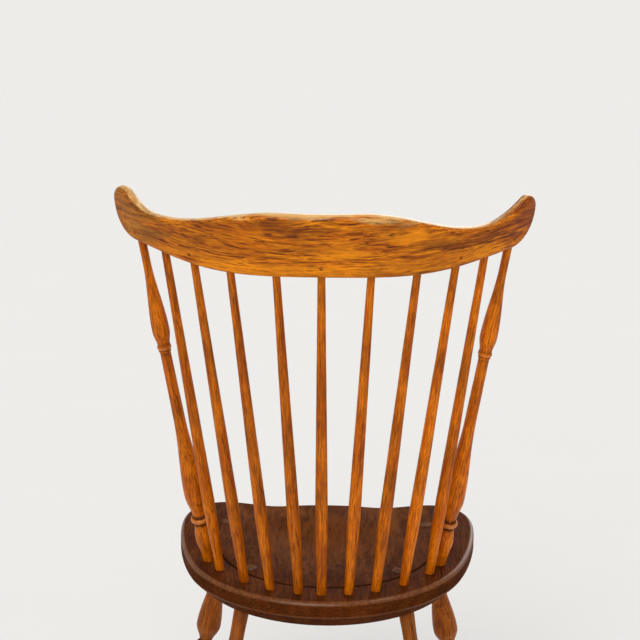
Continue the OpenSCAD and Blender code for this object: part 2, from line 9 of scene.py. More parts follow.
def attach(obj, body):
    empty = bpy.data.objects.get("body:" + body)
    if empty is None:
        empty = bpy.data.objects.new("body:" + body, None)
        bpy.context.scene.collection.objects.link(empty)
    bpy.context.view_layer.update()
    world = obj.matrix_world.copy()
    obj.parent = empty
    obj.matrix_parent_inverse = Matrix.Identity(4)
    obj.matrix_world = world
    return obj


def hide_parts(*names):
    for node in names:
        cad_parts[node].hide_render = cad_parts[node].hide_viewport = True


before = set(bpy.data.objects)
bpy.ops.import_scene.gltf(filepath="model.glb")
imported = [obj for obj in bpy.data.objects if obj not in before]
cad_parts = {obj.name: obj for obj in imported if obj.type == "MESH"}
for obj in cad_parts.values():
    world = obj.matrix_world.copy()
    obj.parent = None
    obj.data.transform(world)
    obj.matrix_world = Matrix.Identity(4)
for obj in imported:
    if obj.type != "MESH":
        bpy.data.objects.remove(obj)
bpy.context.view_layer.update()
mm = 0.001
leftSide = 1
rightSide = -1
sides = ((leftSide, "left"), (rightSide, "right"))

# Sizes are in millimetres and a piece goes to metres when its mesh is made.
chair = {
    "centreY": 95.121,  # from the middle spindle's foot forward to the chair's middle in depth
    "seatHeight": 422.0, "seatTilt": 2.1, "seatArcR": 178.0,
    "backLength": 474.0, "backLean": 16.2, "crestR": 340.0, "spindles": 9,
}


def ease(x):
    return (1 - cos(pi * max(0.0, min(1.0, x)))) / 2


def between(x, x0, x1, a, b):
    return a + (b - a) * ease((x - x0) / (x1 - x0))


def bell(x, high, at, wide):
    return high * exp(-((x - at) / wide) ** 2)


def seatPoint(x, y, z=0.0):
    tilt = radians(chair["seatTilt"])
    return Vector((
        x,
        y * cos(tilt) + z * sin(tilt) + chair["centreY"],
        chair["seatHeight"] - y * sin(tilt) + z * cos(tilt),
    ))


def boardPoint(s, u, n=0.0):
    turn = s / chair["crestR"]
    lean = radians(chair["backLean"])
    across = (chair["crestR"] + n) * sin(turn)
    out = (chair["crestR"] + n) * cos(turn) - chair["crestR"]
    up = chair["backLength"] + u
    return Vector((
        across,
        up * sin(lean) + out * cos(lean) + chair["centreY"],
        chair["seatHeight"] + up * cos(lean) - out * sin(lean),
    ))


def newObject(name, data):
    made = bpy.data.objects.new(name, data)
    bpy.context.scene.collection.objects.link(made)
    return made


print("stage: camera, floor and light")
view = {
    "place": (-0.0393, 1.8533, 1.1373),  # in metres
    "heading": 181.51, "pitch": 10.884, "roll": 0.454,
    "lens": 77.40, "sensor": 36.0, "far": 60.0,
}
cameraData = bpy.data.cameras.new("viewCamera")
cameraData.lens = view["lens"]
cameraData.sensor_width = view["sensor"]
cameraData.clip_end = view["far"]
camera = newObject("viewCamera", cameraData)
turnHeading = Matrix.Rotation(radians(view["heading"]), 4, "Z")
turnPitch = Matrix.Rotation(radians(90 - view["pitch"]), 4, "X")
turnRoll = Matrix.Rotation(radians(view["roll"]), 4, "Z")
camera.matrix_world = Matrix.Translation(view["place"]) @ turnHeading @ turnPitch @ turnRoll
bpy.context.scene.camera = camera
bpy.context.scene.view_settings.view_transform = "Standard"


def plug(tree, node, inputs):
    # Links each input to a socket, or sets it to a value
    for key, value in inputs.items():
        if isinstance(value, bpy.types.NodeSocket):
            tree.links.new(value, node.inputs[key])
        else:
            node.inputs[key].default_value = value


def put(tree, kind, inputs=None, **settings):
    node = tree.nodes.new(f"ShaderNode{kind}")
    for name, value in settings.items():
        setattr(node, name, value)
    plug(tree, node, inputs or {})
    return node


def calc(tree, operation, a, b=0.0, clamp=False):
    return put(tree, "Math", {0: a, 1: b}, operation=operation, use_clamp=clamp).outputs[0]


def plus(tree, a, b, clamp=False):
    return calc(tree, "ADD", a, b, clamp)


def times(tree, a, b, clamp=False):
    return calc(tree, "MULTIPLY", a, b, clamp)


def vector(tree, operation, a, b=None, output="Vector"):
    inputs = {0: a}
    if b is not None:
        inputs["Scale" if operation == "SCALE" else 1] = b
    return put(tree, "VectorMath", inputs, operation=operation).outputs[output]


def ramp(tree, value, low, high, toLow=0.0, toHigh=1.0):
    # Smooth change of value from low to high onto toLow to toHigh
    return put(tree, "MapRange", {
        "Value": value, "From Min": low, "From Max": high, "To Min": toLow, "To Max": toHigh,
    }, interpolation_type="SMOOTHSTEP").outputs[0]


def blendColour(tree, factor, a, b, kind="MIX"):
    # 0, 6 and 7 are the mix node's factor and its two colours, and 2 is the colour that it puts out
    return put(tree, "Mix", {0: factor, 6: a, 7: b}, data_type="RGBA", blend_type=kind).outputs[2]


def cloud(tree, place, scale, detail=3.0, rough=0.55, stretch=(1, 1, 1), shift=(0, 0, 0), output=0):
    # Noise on a stretched copy of a position, from about 0.25 to 0.75
    mapped = put(tree, "Mapping", {"Vector": place, "Scale": stretch, "Location": shift})
    return put(tree, "TexNoise", {
        "Vector": mapped.outputs[0], "Scale": scale, "Detail": detail, "Roughness": rough,
    }).outputs[output]


def newGroup(name, inputs, outputs):
    # An input is a number, a vector or a colour, as its usual value is
    group = bpy.data.node_groups.new(name, "ShaderNodeTree")
    for label, value in inputs.items():
        kind = "Float" if isinstance(value, float) else {3: "Vector", 4: "Color"}[len(value)]
        socket = group.interface.new_socket(label, in_out="INPUT", socket_type=f"NodeSocket{kind}")
        socket.default_value = value
    for label, kind in outputs.items():
        group.interface.new_socket(label, in_out="OUTPUT", socket_type=f"NodeSocket{kind}")
    return group, group.nodes.new("NodeGroupInput").outputs, group.nodes.new("NodeGroupOutput")


def newMaterial(name):
    material = bpy.data.materials.new(name)
    material.use_nodes = True
    tree = material.node_tree
    tree.nodes.clear()
    shader = put(tree, "BsdfPrincipled")
    put(tree, "OutputMaterial", {"Surface": shader.outputs[0]})
    return material, tree, shader


floorLook = {
    "half": 40.0,  # in metres, from the middle to an edge
    "cells": 8,
    "mottle": 3.0,
    "colour": (0.80, 0.79, 0.77, 1),
    "shade": (0.78, 0.77, 0.75, 1),
    "seen": (0.8485, 0.8396, 0.8172, 1),  # the pale surround behind the floor
    "roughness": 0.9,
}
bm = bmesh.new()
cells = floorLook["cells"]
bmesh.ops.create_grid(bm, x_segments=cells, y_segments=cells, size=floorLook["half"])
floorMesh = bpy.data.meshes.new("studioFloor")
bm.to_mesh(floorMesh)
bm.free()
studioFloor = newObject("studioFloor", floorMesh)
floorMaterial, tree, shader = newMaterial("paleFloor")
place = put(tree, "TexCoord").outputs["Object"]
mottle = cloud(tree, place, floorLook["mottle"], 4.0)
plug(tree, shader, {
    "Base Color": blendColour(tree, mottle, floorLook["colour"], floorLook["shade"]),
    "Roughness": floorLook["roughness"], "Specular IOR Level": 0.0,
})
floorMesh.materials.append(floorMaterial)

lighting = {
    "ambient": 0.50,
    "lamps": (
        # name, direction it comes from, width in degrees, strength as a share of full light
        ("overheadLight", (-0.42, 0.12, 0.90), 20, 0.12),
        ("backLight", (0.25, 1.00, 0.70), 45, 0.55),
        ("frontLight", (-0.30, -0.85, 0.42), 48, 0.38),
    ),
}
world = bpy.data.worlds.new("paleSurround")
bpy.context.scene.world = world
world.use_nodes = True
tree = world.node_tree
tree.nodes.clear()
# The camera and mirrored rays get the surround's own colour, and the object the ambient light
path = put(tree, "LightPath").outputs
mirrored = calc(tree, "MAXIMUM", path["Is Glossy Ray"], path["Is Transmission Ray"])
shown = calc(tree, "MAXIMUM", path["Is Camera Ray"], mirrored)
ambient = put(tree, "Background", {"Color": (1, 1, 1, 1), "Strength": lighting["ambient"]})
seen = put(tree, "Background", {"Color": floorLook["seen"], "Strength": 1.0})
mixed = put(tree, "MixShader", {0: shown, 1: ambient.outputs[0], 2: seen.outputs[0]})
put(tree, "OutputWorld", {"Surface": mixed.outputs[0]})
for name, origin, width, share in lighting["lamps"]:
    lampData = bpy.data.lights.new(name, "SUN")
    lampData.angle = radians(width)
    lampData.energy = share * pi
    lamp = newObject(name, lampData)
    lamp.matrix_world = Vector(origin).to_track_quat("Z", "Y").to_matrix().to_4x4()

print("stage: wood groups")


def woodFigure():
    # Growth lines, pores, streaks and fibres of timber whose grain runs along Z, on a position in mm
    tree, given, made = newGroup("woodFigure", {
        "Position": (0, 0, 0), "Ring Centre": (30.0, 60.0, 0.0), "Ring Spacing": 3.0, "Waviness": 8.0,
        "Ring Strength": 0.6, "Pore Strength": 0.8, "Streak Strength": 0.6, "Coarseness": 1.0,
        "Pale": (0.74, 0.27, 0.012, 1), "Deep": (0.30, 0.075, 0.006, 1),
        "Pore": (0.09, 0.024, 0.004, 1), "Flush": (0.52, 0.105, 0.002, 1), "Flush Strength": 0.5,
    }, {"Color": "Color", "Dark": "Float", "Height": "Float"})
    place = given["Position"]

    def drift(scale, stretch, amount):
        # Sideways wander of the grain
        noisy = cloud(tree, place, scale, 2.0, 0.5, (1, 1, stretch), output="Color")
        level = vector(tree, "SUBTRACT", noisy, (0.5, 0.5, 0.5))
        return vector(tree, "SCALE", vector(tree, "MULTIPLY", level, (1, 1, 0)), amount)

    broadDrift = drift(0.030, 0.24, given["Waviness"])
    smallDrift = drift(0.130, 0.16, times(tree, given["Waviness"], 0.22))
    moved = vector(tree, "ADD", place, vector(tree, "ADD", broadDrift, smallDrift))
    fromPith = vector(tree, "MULTIPLY", vector(tree, "ADD", moved, given["Ring Centre"]), (1, 1, 0))
    radius = vector(tree, "LENGTH", fromPith, output="Value")
    phase = calc(tree, "FRACT", calc(tree, "DIVIDE", radius, given["Ring Spacing"]))
    early = times(tree, ramp(tree, phase, 0.0, 0.14), ramp(tree, phase, 0.62, 0.20))
    broken = ramp(tree, cloud(tree, place, 0.10, 3.0, 0.6, (1, 1, 0.22), (12, 4, 8)), 0.36, 0.60, 0.15, 1.0)
    lines = times(tree, early, broken)
    scaled = vector(tree, "SCALE", moved, given["Coarseness"])
    fibres = cloud(tree, scaled, 0.66, 2.0, 0.65, (1, 1, 0.05))
    dashes = ramp(tree, cloud(tree, scaled, 0.70, 1.0, 0.55, (1, 1, 0.045), (7, 3, 1)), 0.555, 0.61)
    specks = ramp(tree, cloud(tree, scaled, 1.2, 1.0, 0.5, (1, 1, 0.08), (3, 6, 2)), 0.56, 0.61)
    streaks = ramp(tree, cloud(tree, moved, 0.17, 3.0, 0.65, (1, 1, 0.065), (40, 9, 0)), 0.46, 0.64)
    porous = plus(tree, times(tree, lines, 0.7), 0.45)
    pores = calc(tree, "MAXIMUM", dashes, times(tree, specks, 0.75))
    poreMask = times(tree, times(tree, pores, porous), given["Pore Strength"], True)
    shade = plus(tree, times(tree, lines, given["Ring Strength"]),
                 times(tree, streaks, given["Streak Strength"]))
    shade = plus(tree, shade, ramp(tree, fibres, 0.37, 0.63, -0.22, 0.50), True)
    flush = ramp(tree, cloud(tree, moved, 0.085, 3.0, 0.62, (1, 1, 0.17), (21, 5, 2)), 0.43, 0.60)
    flush = times(tree, flush, given["Flush Strength"])
    pale = blendColour(tree, flush, given["Pale"], given["Flush"])
    wood = blendColour(tree, shade, pale, given["Deep"])
    wood = blendColour(tree, poreMask, wood, given["Pore"])
    depth = plus(tree, times(tree, poreMask, 0.8), times(tree, lines, 0.2))
    plug(tree, made, {"Color": wood, "Dark": poreMask, "Height": times(tree, depth, -1.0)})
    return tree


def agedFinish():
    # Old varnish: smoky patches, dirt in the hollows, worn and rubbed edges, whose pale colour on the crest's
    # rims is also a painted highlight, and a shift of tone that on the back's pieces is partly painted light
    tree, given, made = newGroup("agedFinish", {
        "Wood": (0.5, 0.2, 0.02, 1), "Position": (0, 0, 0), "Relief": 0.0,
        "Smoke": (0.13, 0.052, 0.018, 1), "Smoke Amount": 0.35,
        "Dirt": (0.035, 0.014, 0.005, 1), "Dirt Amount": 0.8,
        "Wear And Sheen": (0.72, 0.36, 0.09, 1), "Wear And Sheen Amount": 0.35, "Gloss": 0.36, "Coat": 0.2, "ToneAndLight": 0.0,
    }, {"Color": "Color", "Roughness": "Float", "Coat": "Float"})
    place = given["Position"]
    broad = cloud(tree, place, 0.030, 3.0, 0.55, (1, 1, 0.45), (3, 8, 5))
    smoke = times(tree, ramp(tree, broad, 0.42, 0.68), given["Smoke Amount"])
    fine = cloud(tree, place, 0.22, 4.0, 0.6, (1, 1, 0.3), (1, 5, 9))
    smoke = times(tree, smoke, ramp(tree, fine, 0.30, 0.62, 0.35, 1.0))
    # The whole colour is scaled by the piece's tone shift, which on the back's pieces is partly painted light
    toned = vector(tree, "SCALE", given["Wood"], plus(tree, given["ToneAndLight"], 1.0))
    wood = blendColour(tree, smoke, toned, given["Smoke"])
    hollow = ramp(tree, given["Relief"], -0.03, -0.75)
    dirt = times(tree, hollow, ramp(tree, fine, 0.25, 0.6, 0.6, 1.0))
    dirt = times(tree, dirt, given["Dirt Amount"])
    wood = blendColour(tree, dirt, wood, given["Dirt"])
    # Proud parts take the pale worn colour: wear, and on the crest's rims also a painted highlight
    proud = ramp(tree, given["Relief"], 0.10, 0.85)
    rub = times(tree, proud, ramp(tree, fine, 0.38, 0.62, 0.35, 1.0))
    wood = blendColour(tree, times(tree, rub, given["Wear And Sheen Amount"]), wood, given["Wear And Sheen"])
    rough = plus(tree, given["Gloss"], ramp(tree, fine, 0.3, 0.7, -0.06, 0.10))
    rough = plus(tree, rough, times(tree, dirt, 0.50))
    rough = plus(tree, rough, times(tree, smoke, 0.18), True)
    polish = plus(tree, given["Coat"], times(tree, proud, 0.45), True)
    polish = times(tree, polish, calc(tree, "SUBTRACT", 1.0, dirt))
    plug(tree, made, {"Color": wood, "Roughness": rough, "Coat": polish})
    return tree


def softPatch():
    # Soft-edged oval patch on the wood, at a place given in mm
    tree, given, made = newGroup("softPatch", {
        "Position": (0, 0, 0), "Place": (0, 0, 0), "Reach": (1, 1, 1), "Strength": 1.0, "Dark": 0.0,
    }, {"Mask": "Float"})
    away = vector(tree, "SUBTRACT", given["Position"], given["Place"])
    far = vector(tree, "LENGTH", vector(tree, "DIVIDE", away, given["Reach"]), output="Value")
    ragged = cloud(tree, given["Position"], 0.09, 4.0, 0.65, (1, 1, 0.2), (2, 2, 2))
    far = plus(tree, far, ramp(tree, ragged, 0.3, 0.7, -0.55, 0.55))
    mask = times(tree, ramp(tree, far, 1.15, 0.35), given["Strength"])
    grainLeft = calc(tree, "SUBTRACT", 1.0, times(tree, given["Dark"], 0.75))
    plug(tree, made, {"Mask": times(tree, mask, grainLeft)})
    return tree


figureGroup = woodFigure()
finishGroup = agedFinish()
patchGroup = softPatch()


def useGroup(tree, group, inputs):
    return put(tree, "Group", inputs, node_tree=group).outputs


def woodMaterial(name, figure, finish, bump, shine, coat, patches=(), patchDeep=60):
    material, tree, shader = newMaterial(name)
    place = put(tree, "Attribute", attribute_name="grainPos").outputs["Vector"]
    relief = put(tree, "Attribute", attribute_name="relief").outputs["Fac"]
    # The tone shift, which on the back's pieces is partly painted light
    tone = put(tree, "Attribute", attribute_name="toneAndLightShift").outputs["Fac"]
    wood = useGroup(tree, figureGroup, dict(figure, Position=place))
    colour = wood["Color"]
    for (x, z), (wide, long), strength, (kind, tint) in patches:
        mask = useGroup(tree, patchGroup, {
            "Position": place, "Place": (x, 0, z), "Reach": (wide, patchDeep, long),
            "Strength": strength, "Dark": wood["Dark"],
        })["Mask"]
        colour = blendColour(tree, mask, colour, tint, kind)
    given = dict(finish, Wood=colour, Position=place, Relief=relief, Coat=coat, ToneAndLight=tone)
    aged = useGroup(tree, finishGroup, given)
    lift = put(tree, "Bump", {"Height": wood["Height"], "Strength": bump, "Distance": 0.3 * mm})
    plug(tree, shader, {
        "Base Color": aged["Color"], "Roughness": aged["Roughness"], "Normal": lift.outputs[0],
        "Specular IOR Level": shine, "Coat Weight": aged["Coat"], "Coat Roughness": 0.20,
    })
    return material


print("stage: materials")
oakTones = {
    "Pale": (0.82, 0.250, 0.003, 1),
    "Deep": (0.25, 0.048, 0.002, 1),
    "Pore": (0.085, 0.018, 0.001, 1),
    "Flush": (0.55, 0.112, 0.002, 1),
}
crestFigure = {
    **oakTones, "Ring Centre": (-52.0, 30.0, 0.0), "Ring Spacing": 2.6, "Waviness": 20.0,
    "Ring Strength": 0.55, "Pore Strength": 0.88, "Streak Strength": 0.48, "Coarseness": 1.0,
    "Flush Strength": 0.6,
}
# On the crest the pale worn colour, at a large amount, is both the rim's wear and a highlight painted on it
crestFinish = {
    "Smoke": (0.15, 0.042, 0.005, 1), "Smoke Amount": 0.40, "Dirt Amount": 0.5,
    "Wear And Sheen": (0.80, 0.50, 0.17, 1), "Wear And Sheen Amount": 0.80, "Gloss": 0.34,
}
# How each stain goes onto the wood, and its colour
amber = ("MIX", (0.85, 0.27, 0.004, 1))
ochre = ("MIX", (0.60, 0.22, 0.012, 1))
# Pale patches just below the crest's upper edge: rubbed varnish, and partly a painted highlight
rubAndSheen = ("MIX", (0.78, 0.48, 0.17, 1))
honey = ("MIX", (0.55, 0.17, 0.02, 1))
umber = ("MULTIPLY", (0.34, 0.31, 0.60, 1))
dullBrown = ("MULTIPLY", (0.51, 0.64, 1.00, 1))
warmBrown = ("MULTIPLY", (0.64, 0.62, 1.00, 1))
redBrown = ("MULTIPLY", (0.36, 0.20, 0.60, 1))
crestPatches = (
    # place (up the board, along it), reach, strength, stain
    ((6, 20), (13, 250), 0.55, amber),
    ((34, -26), (17, 26), 0.72, amber),
    ((50, -100), (11, 32), 0.58, amber),
    ((62, 50), (12, 150), 0.45, umber),
    ((36, 40), (10, 60), 0.38, umber),
    ((36, -128), (9, 26), 0.62, umber),
    ((12, -190), (6, 80), 0.35, amber),
    ((28, -190), (6, 75), 0.45, umber),
    ((24, -186), (2.0, 90), 1.00, umber),
    ((25, 54), (1.7, 17), 1.00, umber),
    ((34, 160), (22, 90), 0.75, warmBrown),
    ((38, -190), (18, 60), 0.28, warmBrown),
    ((44, 262), (46, 60), 0.30, honey),
    ((44, 262), (46, 60), 0.85, dullBrown),
    ((44, -278), (40, 60), 0.85, redBrown),
    ((50, 248), (5, 40), 0.55, umber),
    ((28, 264), (12, 18), 0.45, ochre),
    ((34, 275), (5, 6), 0.95, umber),
    ((72, 108), (4, 28), 0.55, rubAndSheen),
    ((79, 24), (4, 50), 0.55, rubAndSheen),
    ((74, -62), (5, 38), 0.65, rubAndSheen),
    ((66, -112), (4, 22), 0.45, rubAndSheen),
)
crestMaterial = woodMaterial("varnishedOakCrest", crestFigure, crestFinish,
                             bump=0.35, shine=0.08, coat=0.12, patches=crestPatches)
spindleFigure = {
    **oakTones, "Pale": (0.66, 0.172, 0.002, 1), "Deep": (0.26, 0.048, 0.001, 1),
    "Flush": (0.46, 0.090, 0.001, 1), "Flush Strength": 0.7, "Ring Centre": (9.0, 14.0, 0.0),
    "Ring Spacing": 3.1, "Waviness": 7.0, "Ring Strength": 0.35, "Pore Strength": 0.65,
    "Streak Strength": 0.42, "Coarseness": 1.5,
}
spindleFinish = {
    "Smoke": (0.10, 0.024, 0.003, 1), "Smoke Amount": 0.50, "Dirt Amount": 0.95,
    "Wear And Sheen": (0.48, 0.21, 0.06, 1), "Wear And Sheen Amount": 0.35, "Gloss": 0.34,
}
spindleMaterial = woodMaterial("varnishedOakTurned", spindleFigure, spindleFinish,
                               bump=0.30, shine=0.07, coat=0.10)
seatFigure = {
    "Pale": (0.115, 0.029, 0.004, 1), "Deep": (0.060, 0.014, 0.003, 1),
    "Pore": (0.018, 0.005, 0.002, 1), "Flush": (0.085, 0.014, 0.002, 1), "Flush Strength": 0.6,
    "Ring Centre": (60.0, 230.0, 0.0), "Ring Spacing": 5.0, "Waviness": 18.0,
    "Ring Strength": 0.45, "Pore Strength": 0.6, "Streak Strength": 0.5, "Coarseness": 0.8,
}
seatFinish = {
    "Smoke": (0.035, 0.011, 0.004, 1), "Smoke Amount": 0.55,
    "Dirt": (0.012, 0.005, 0.002, 1), "Dirt Amount": 0.9,
    "Wear And Sheen": (0.26, 0.085, 0.015, 1), "Wear And Sheen Amount": 0.50, "Gloss": 0.55,
}
sittingWear = ("MIX", (0.185, 0.055, 0.008, 1))
seatPatches = (
    # place (to the left, backwards), reach, strength, stain
    ((0, -215), (150, 130), 0.45, sittingWear),
    ((95, -320), (60, 60), 0.45, sittingWear),
    ((-95, -320), (60, 60), 0.45, sittingWear),
)
seatMaterial = woodMaterial("stainedPlank", seatFigure, seatFinish,
                            bump=0.40, shine=0.008, coat=0.0, patches=seatPatches)
legFigure = {
    "Pale": (0.40, 0.105, 0.005, 1), "Deep": (0.17, 0.038, 0.003, 1),
    "Pore": (0.05, 0.013, 0.002, 1), "Flush": (0.33, 0.068, 0.003, 1), "Flush Strength": 0.6,
    "Ring Centre": (16.0, 22.0, 0.0), "Ring Spacing": 4.2, "Waviness": 9.0,
    "Ring Strength": 0.45, "Pore Strength": 0.5, "Streak Strength": 0.5, "Coarseness": 1.2,
}
legFinish = {
    "Smoke": (0.065, 0.019, 0.004, 1), "Smoke Amount": 0.50, "Dirt Amount": 0.95,
    "Wear And Sheen": (0.52, 0.20, 0.035, 1), "Wear And Sheen Amount": 0.50, "Gloss": 0.38,
}
legMaterial = woodMaterial("varnishedTurnedLeg", legFigure, legFinish, bump=0.25, shine=0.07, coat=0.12)
pegFigure = {
    "Pale": (0.42, 0.125, 0.008, 1), "Deep": (0.22, 0.058, 0.005, 1), "Pore": (0.07, 0.018, 0.003, 1),
    "Ring Centre": (4.0, 7.0, 0.0), "Ring Spacing": 1.6, "Waviness": 2.0,
    "Ring Strength": 0.7, "Pore Strength": 0.9,
}
pegFinish = {"Smoke Amount": 0.3, "Dirt Amount": 0.5, "Wear And Sheen Amount": 0.15, "Gloss": 0.5}
pegMaterial = woodMaterial("pegEndGrain", pegFigure, pegFinish, bump=0.4, shine=0.05, coat=0.0)
wedgeFigure = {
    "Pale": (0.20, 0.066, 0.010, 1), "Deep": (0.10, 0.030, 0.005, 1), "Pore": (0.03, 0.010, 0.003, 1),
    "Ring Centre": (3.0, 5.0, 0.0), "Ring Spacing": 1.4, "Waviness": 2.0,
    "Ring Strength": 0.7, "Pore Strength": 0.8,
}
wedgeMaterial = woodMaterial("wedgeEndGrain", wedgeFigure, pegFinish, bump=0.4, shine=0.01, coat=0.0)


def finishPiece(name, bm, material, slotName, *nodes):
    # The bmesh, in mm, becomes a piece in metres that rides on the chair and stands for its nodes
    bmesh.ops.transform(bm, matrix=Matrix.Scale(mm, 4), verts=bm.verts)
    mesh = bpy.data.meshes.new(name)
    bm.to_mesh(mesh)
    bm.free()
    mesh.shade_smooth()
    mesh.materials.append(material)
    piece = newObject(name, mesh)
    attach(piece, "root")
    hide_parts(*nodes)
    return piece


def everything(bm):
    return bm.verts[:] + bm.edges[:] + bm.faces[:]


def only(kind, items):
    return [item for item in items if isinstance(item, kind)]


def faceOut(bm):
    # Faces with many sides become fans, and all point outwards
    bmesh.ops.poke(bm, faces=[face for face in bm.faces if len(face.verts) > 4])
    bmesh.ops.recalc_face_normals(bm, faces=bm.faces)


def woodLayers(bm):
    # Where each point lies in its timber, and how far it stands proud or lies hollow; on the crest's edges it
    # also sets where a highlight is painted
    return bm.verts.layers.float_vector.new("grainPos"), bm.verts.layers.float.new("relief")


def standOn(bm, at, axis):
    # What was made round Z moves to a point and turns onto an axis
    stand = axis.to_track_quat("Z", "Y").to_matrix().to_4x4()
    bmesh.ops.transform(bm, matrix=Matrix.Translation(at) @ stand, verts=bm.verts)


def keepCornersCrisp(piece, angle, weight=80):
    # Flat parts keep flat shading beside narrow bevels
    weighted = piece.modifiers.new("weightedNormals", "WEIGHTED_NORMAL")
    weighted.keep_sharp = True
    weighted.weight = weight
    piece.data.set_sharp_from_angle(angle=radians(angle))


print("stage: saddle seat")
seat = {
    "thick": 44.0, "width": 448.0, "front": 343.0, "widestAt": 266.0, "rim": 30.0, "backEnd": 60.0,
    "cornerAt": 158.0, "cornerAhead": 7.0, "sidePull": 55.0, "cornerPull": 48.0,
    "dish": 11.0, "thigh": 5.0, "thighAt": 92.0, "thighWide": 46.0, "deckIn": 20.0,
    "gutterWide": 5.0, "gutterEnd": 72.0, "gutterFade": 3.0, "gutterDirt": 0.7,
    # half widths from the middle of the gutter, depth
    "gutterSection": ((-1.25, 0), (-1, 0.1), (-0.3, 1.35), (0, 1.5), (0.3, 1.35), (1, 0.1), (1.25, 0)),
    "edgeRound": 7.0, "edgeRub": 0.9,
    "bevelFrom": 23.0, "bevelIn": 24.0, "bevelStop": 1.2,
    "arrisAbove": 3.0,  # the soft lower arris starts this far above the bevel
    "arrisTall": 4.0, "arrisIn": 1.6, "arrisRub": 0.5,
    # past the bevel's foot, above the underside, how rubbed
    "footSection": ((-0.8, 0.5, 0.5), (0.6, 0, 0.3)),
    "ripple": 0.25,  # how far tool marks ripple the carved top
    "rippleWide": 38.0, "rippleLong": 52.0, "rippleRise": 6.0,
    "steps": 24, "roundSteps": 6,
    # rings of points over the top, the underside, the soft arris and the bevel, as shares of the way
    "innerRings": (0.05, 0.11, 0.17, 0.23, 0.29, 0.35, 0.41, 0.47, 0.53, 0.585, 0.635, 0.68, 0.72, 0.75),
    "outerRings": (0.84, 0.88, 0.92, 0.96, 0.985, 1.0),
    "underRings": (0.8, 0.6, 0.4, 0.2),
    "arrisRings": (0.2, 0.4, 0.6, 0.8),
    "bevelRings": tuple((i + 0.3) / 3.6 for i in range(4)),
}


def bezier(a, b, c, d, steps):
    # Points from a to just before d
    shares = [i / steps for i in range(steps)]
    return [(1 - t) ** 3 * a + 3 * t * (1 - t) ** 2 * b + 3 * t * t * (1 - t) * c + t ** 3 * d
            for t in shares]


seatMid = Vector((0, -chair["seatArcR"]))
seatRadius = chair["seatArcR"] + seat["rim"]
deckShare = (chair["seatArcR"] - seat["deckIn"]) / seatRadius


def backEdge(turn):
    return Vector((seatRadius * sin(turn), seatRadius * cos(turn) - chair["seatArcR"]))


def seatOutline():
    # The back's arc, a side and half of the front, and then their mirror image
    steps = seat["steps"]
    end = radians(seat["backEnd"])
    widest = Vector((seat["width"] / 2, -seat["widestAt"]))
    corner = Vector((seat["cornerAt"], -seat["front"] - seat["cornerAhead"]))
    shoulder = backEdge(end)
    leaving = shoulder + seat["sidePull"] * Vector((cos(end), -sin(end)))
    half = [backEdge(end * i / steps) for i in range(steps)]
    half += bezier(shoulder, leaving, widest + Vector((0, seat["sidePull"])), widest, steps)
    half += bezier(widest, widest - Vector((0, seat["cornerPull"])),
                   corner + Vector((seat["cornerPull"], 0)), corner, steps)
    for i in range(steps + 1):
        x = corner.x * (1 - i / steps)
        half.append(Vector((x, -seat["front"] - seat["cornerAhead"] * ease(x / corner.x))))
    return half + [Vector((-q.x, q.y)) for q in reversed(half[1:-1])]


outline = seatOutline()


def carved(p, share):
    low = -seat["dish"] * (1 - ease(share / deckShare))
    forward = ease((-p.y - chair["seatArcR"]) / (seat["front"] - chair["seatArcR"]))
    return low - bell(abs(p.x), seat["thigh"] * forward, seat["thighAt"], seat["thighWide"])


def topRing(share, deeper=0.0):
    ring = []
    for q in outline:
        out = (q - seatMid).normalized()
        p = seatMid + share * (q - seatMid - seat["edgeRound"] * out)
        turn = abs(degrees(atan2(p.x, p.y - seatMid.y)))
        groove = deeper * ease((seat["gutterEnd"] + seat["gutterFade"] - turn) / seat["gutterFade"])
        where = Vector((p.x / seat["rippleWide"], p.y / seat["rippleLong"], 3.1))
        ripple = seat["ripple"] * noise.noise(where) * ease(share * seat["rippleRise"])
        height = carved(p, share) - groove + ripple
        ring.append((Vector((p.x, p.y, height)), -groove * seat["gutterDirt"]))
    return ring


def rimRing(inset, height, rub=0.0, follow=0):
    # Where follow is 1, the ring follows the edge of the carved top, and otherwise it is level
    ring = []
    for q in outline:
        p = q - inset * (q - seatMid).normalized()
        ring.append((Vector((p.x, p.y, height + follow * carved(q, 1))), rub))
    return ring


def seatRings():
    halfGutter = seat["gutterWide"] / 2 / (seatRadius - seat["edgeRound"])
    gutterAt = (chair["seatArcR"] - seat["deckIn"]) / (seatRadius - seat["edgeRound"])
    rings = [topRing(share) for share in seat["innerRings"]]
    rings += [topRing(gutterAt + aside * halfGutter, deep) for aside, deep in seat["gutterSection"]]
    rings += [topRing(share) for share in seat["outerRings"]]
    rounding = seat["edgeRound"]
    for i in range(1, seat["roundSteps"] + 1):
        turn = pi / 2 * i / seat["roundSteps"]
        rub = seat["edgeRub"] * sin(2 * turn)
        rings.append(rimRing(rounding * (1 - sin(turn)), rounding * (cos(turn) - 1), rub, follow=1))
    arrisTop = -seat["bevelFrom"] + seat["arrisAbove"]
    rings.append(rimRing(0, arrisTop))
    for share in seat["arrisRings"]:
        inset = seat["arrisIn"] * share ** 2
        rings.append(rimRing(inset, arrisTop - seat["arrisTall"] * share, seat["arrisRub"]))
    bevelTop = arrisTop - seat["arrisTall"]
    inward = seat["bevelIn"] - 2 * seat["arrisIn"]
    run = seat["thick"] - seat["bevelFrom"] - seat["bevelStop"]
    for share in seat["bevelRings"]:
        rings.append(rimRing(seat["arrisIn"] + inward * share, bevelTop - run * share))
    for past, above, rub in seat["footSection"]:
        rings.append(rimRing(seat["bevelIn"] + past, above - seat["thick"], rub))
    for share in seat["underRings"]:
        rings.append([(Vector((seatMid.x + share * (q.x - seatMid.x), seatMid.y + share * (q.y - seatMid.y),
                               -seat["thick"])), 0.0) for q in outline])
    return rings


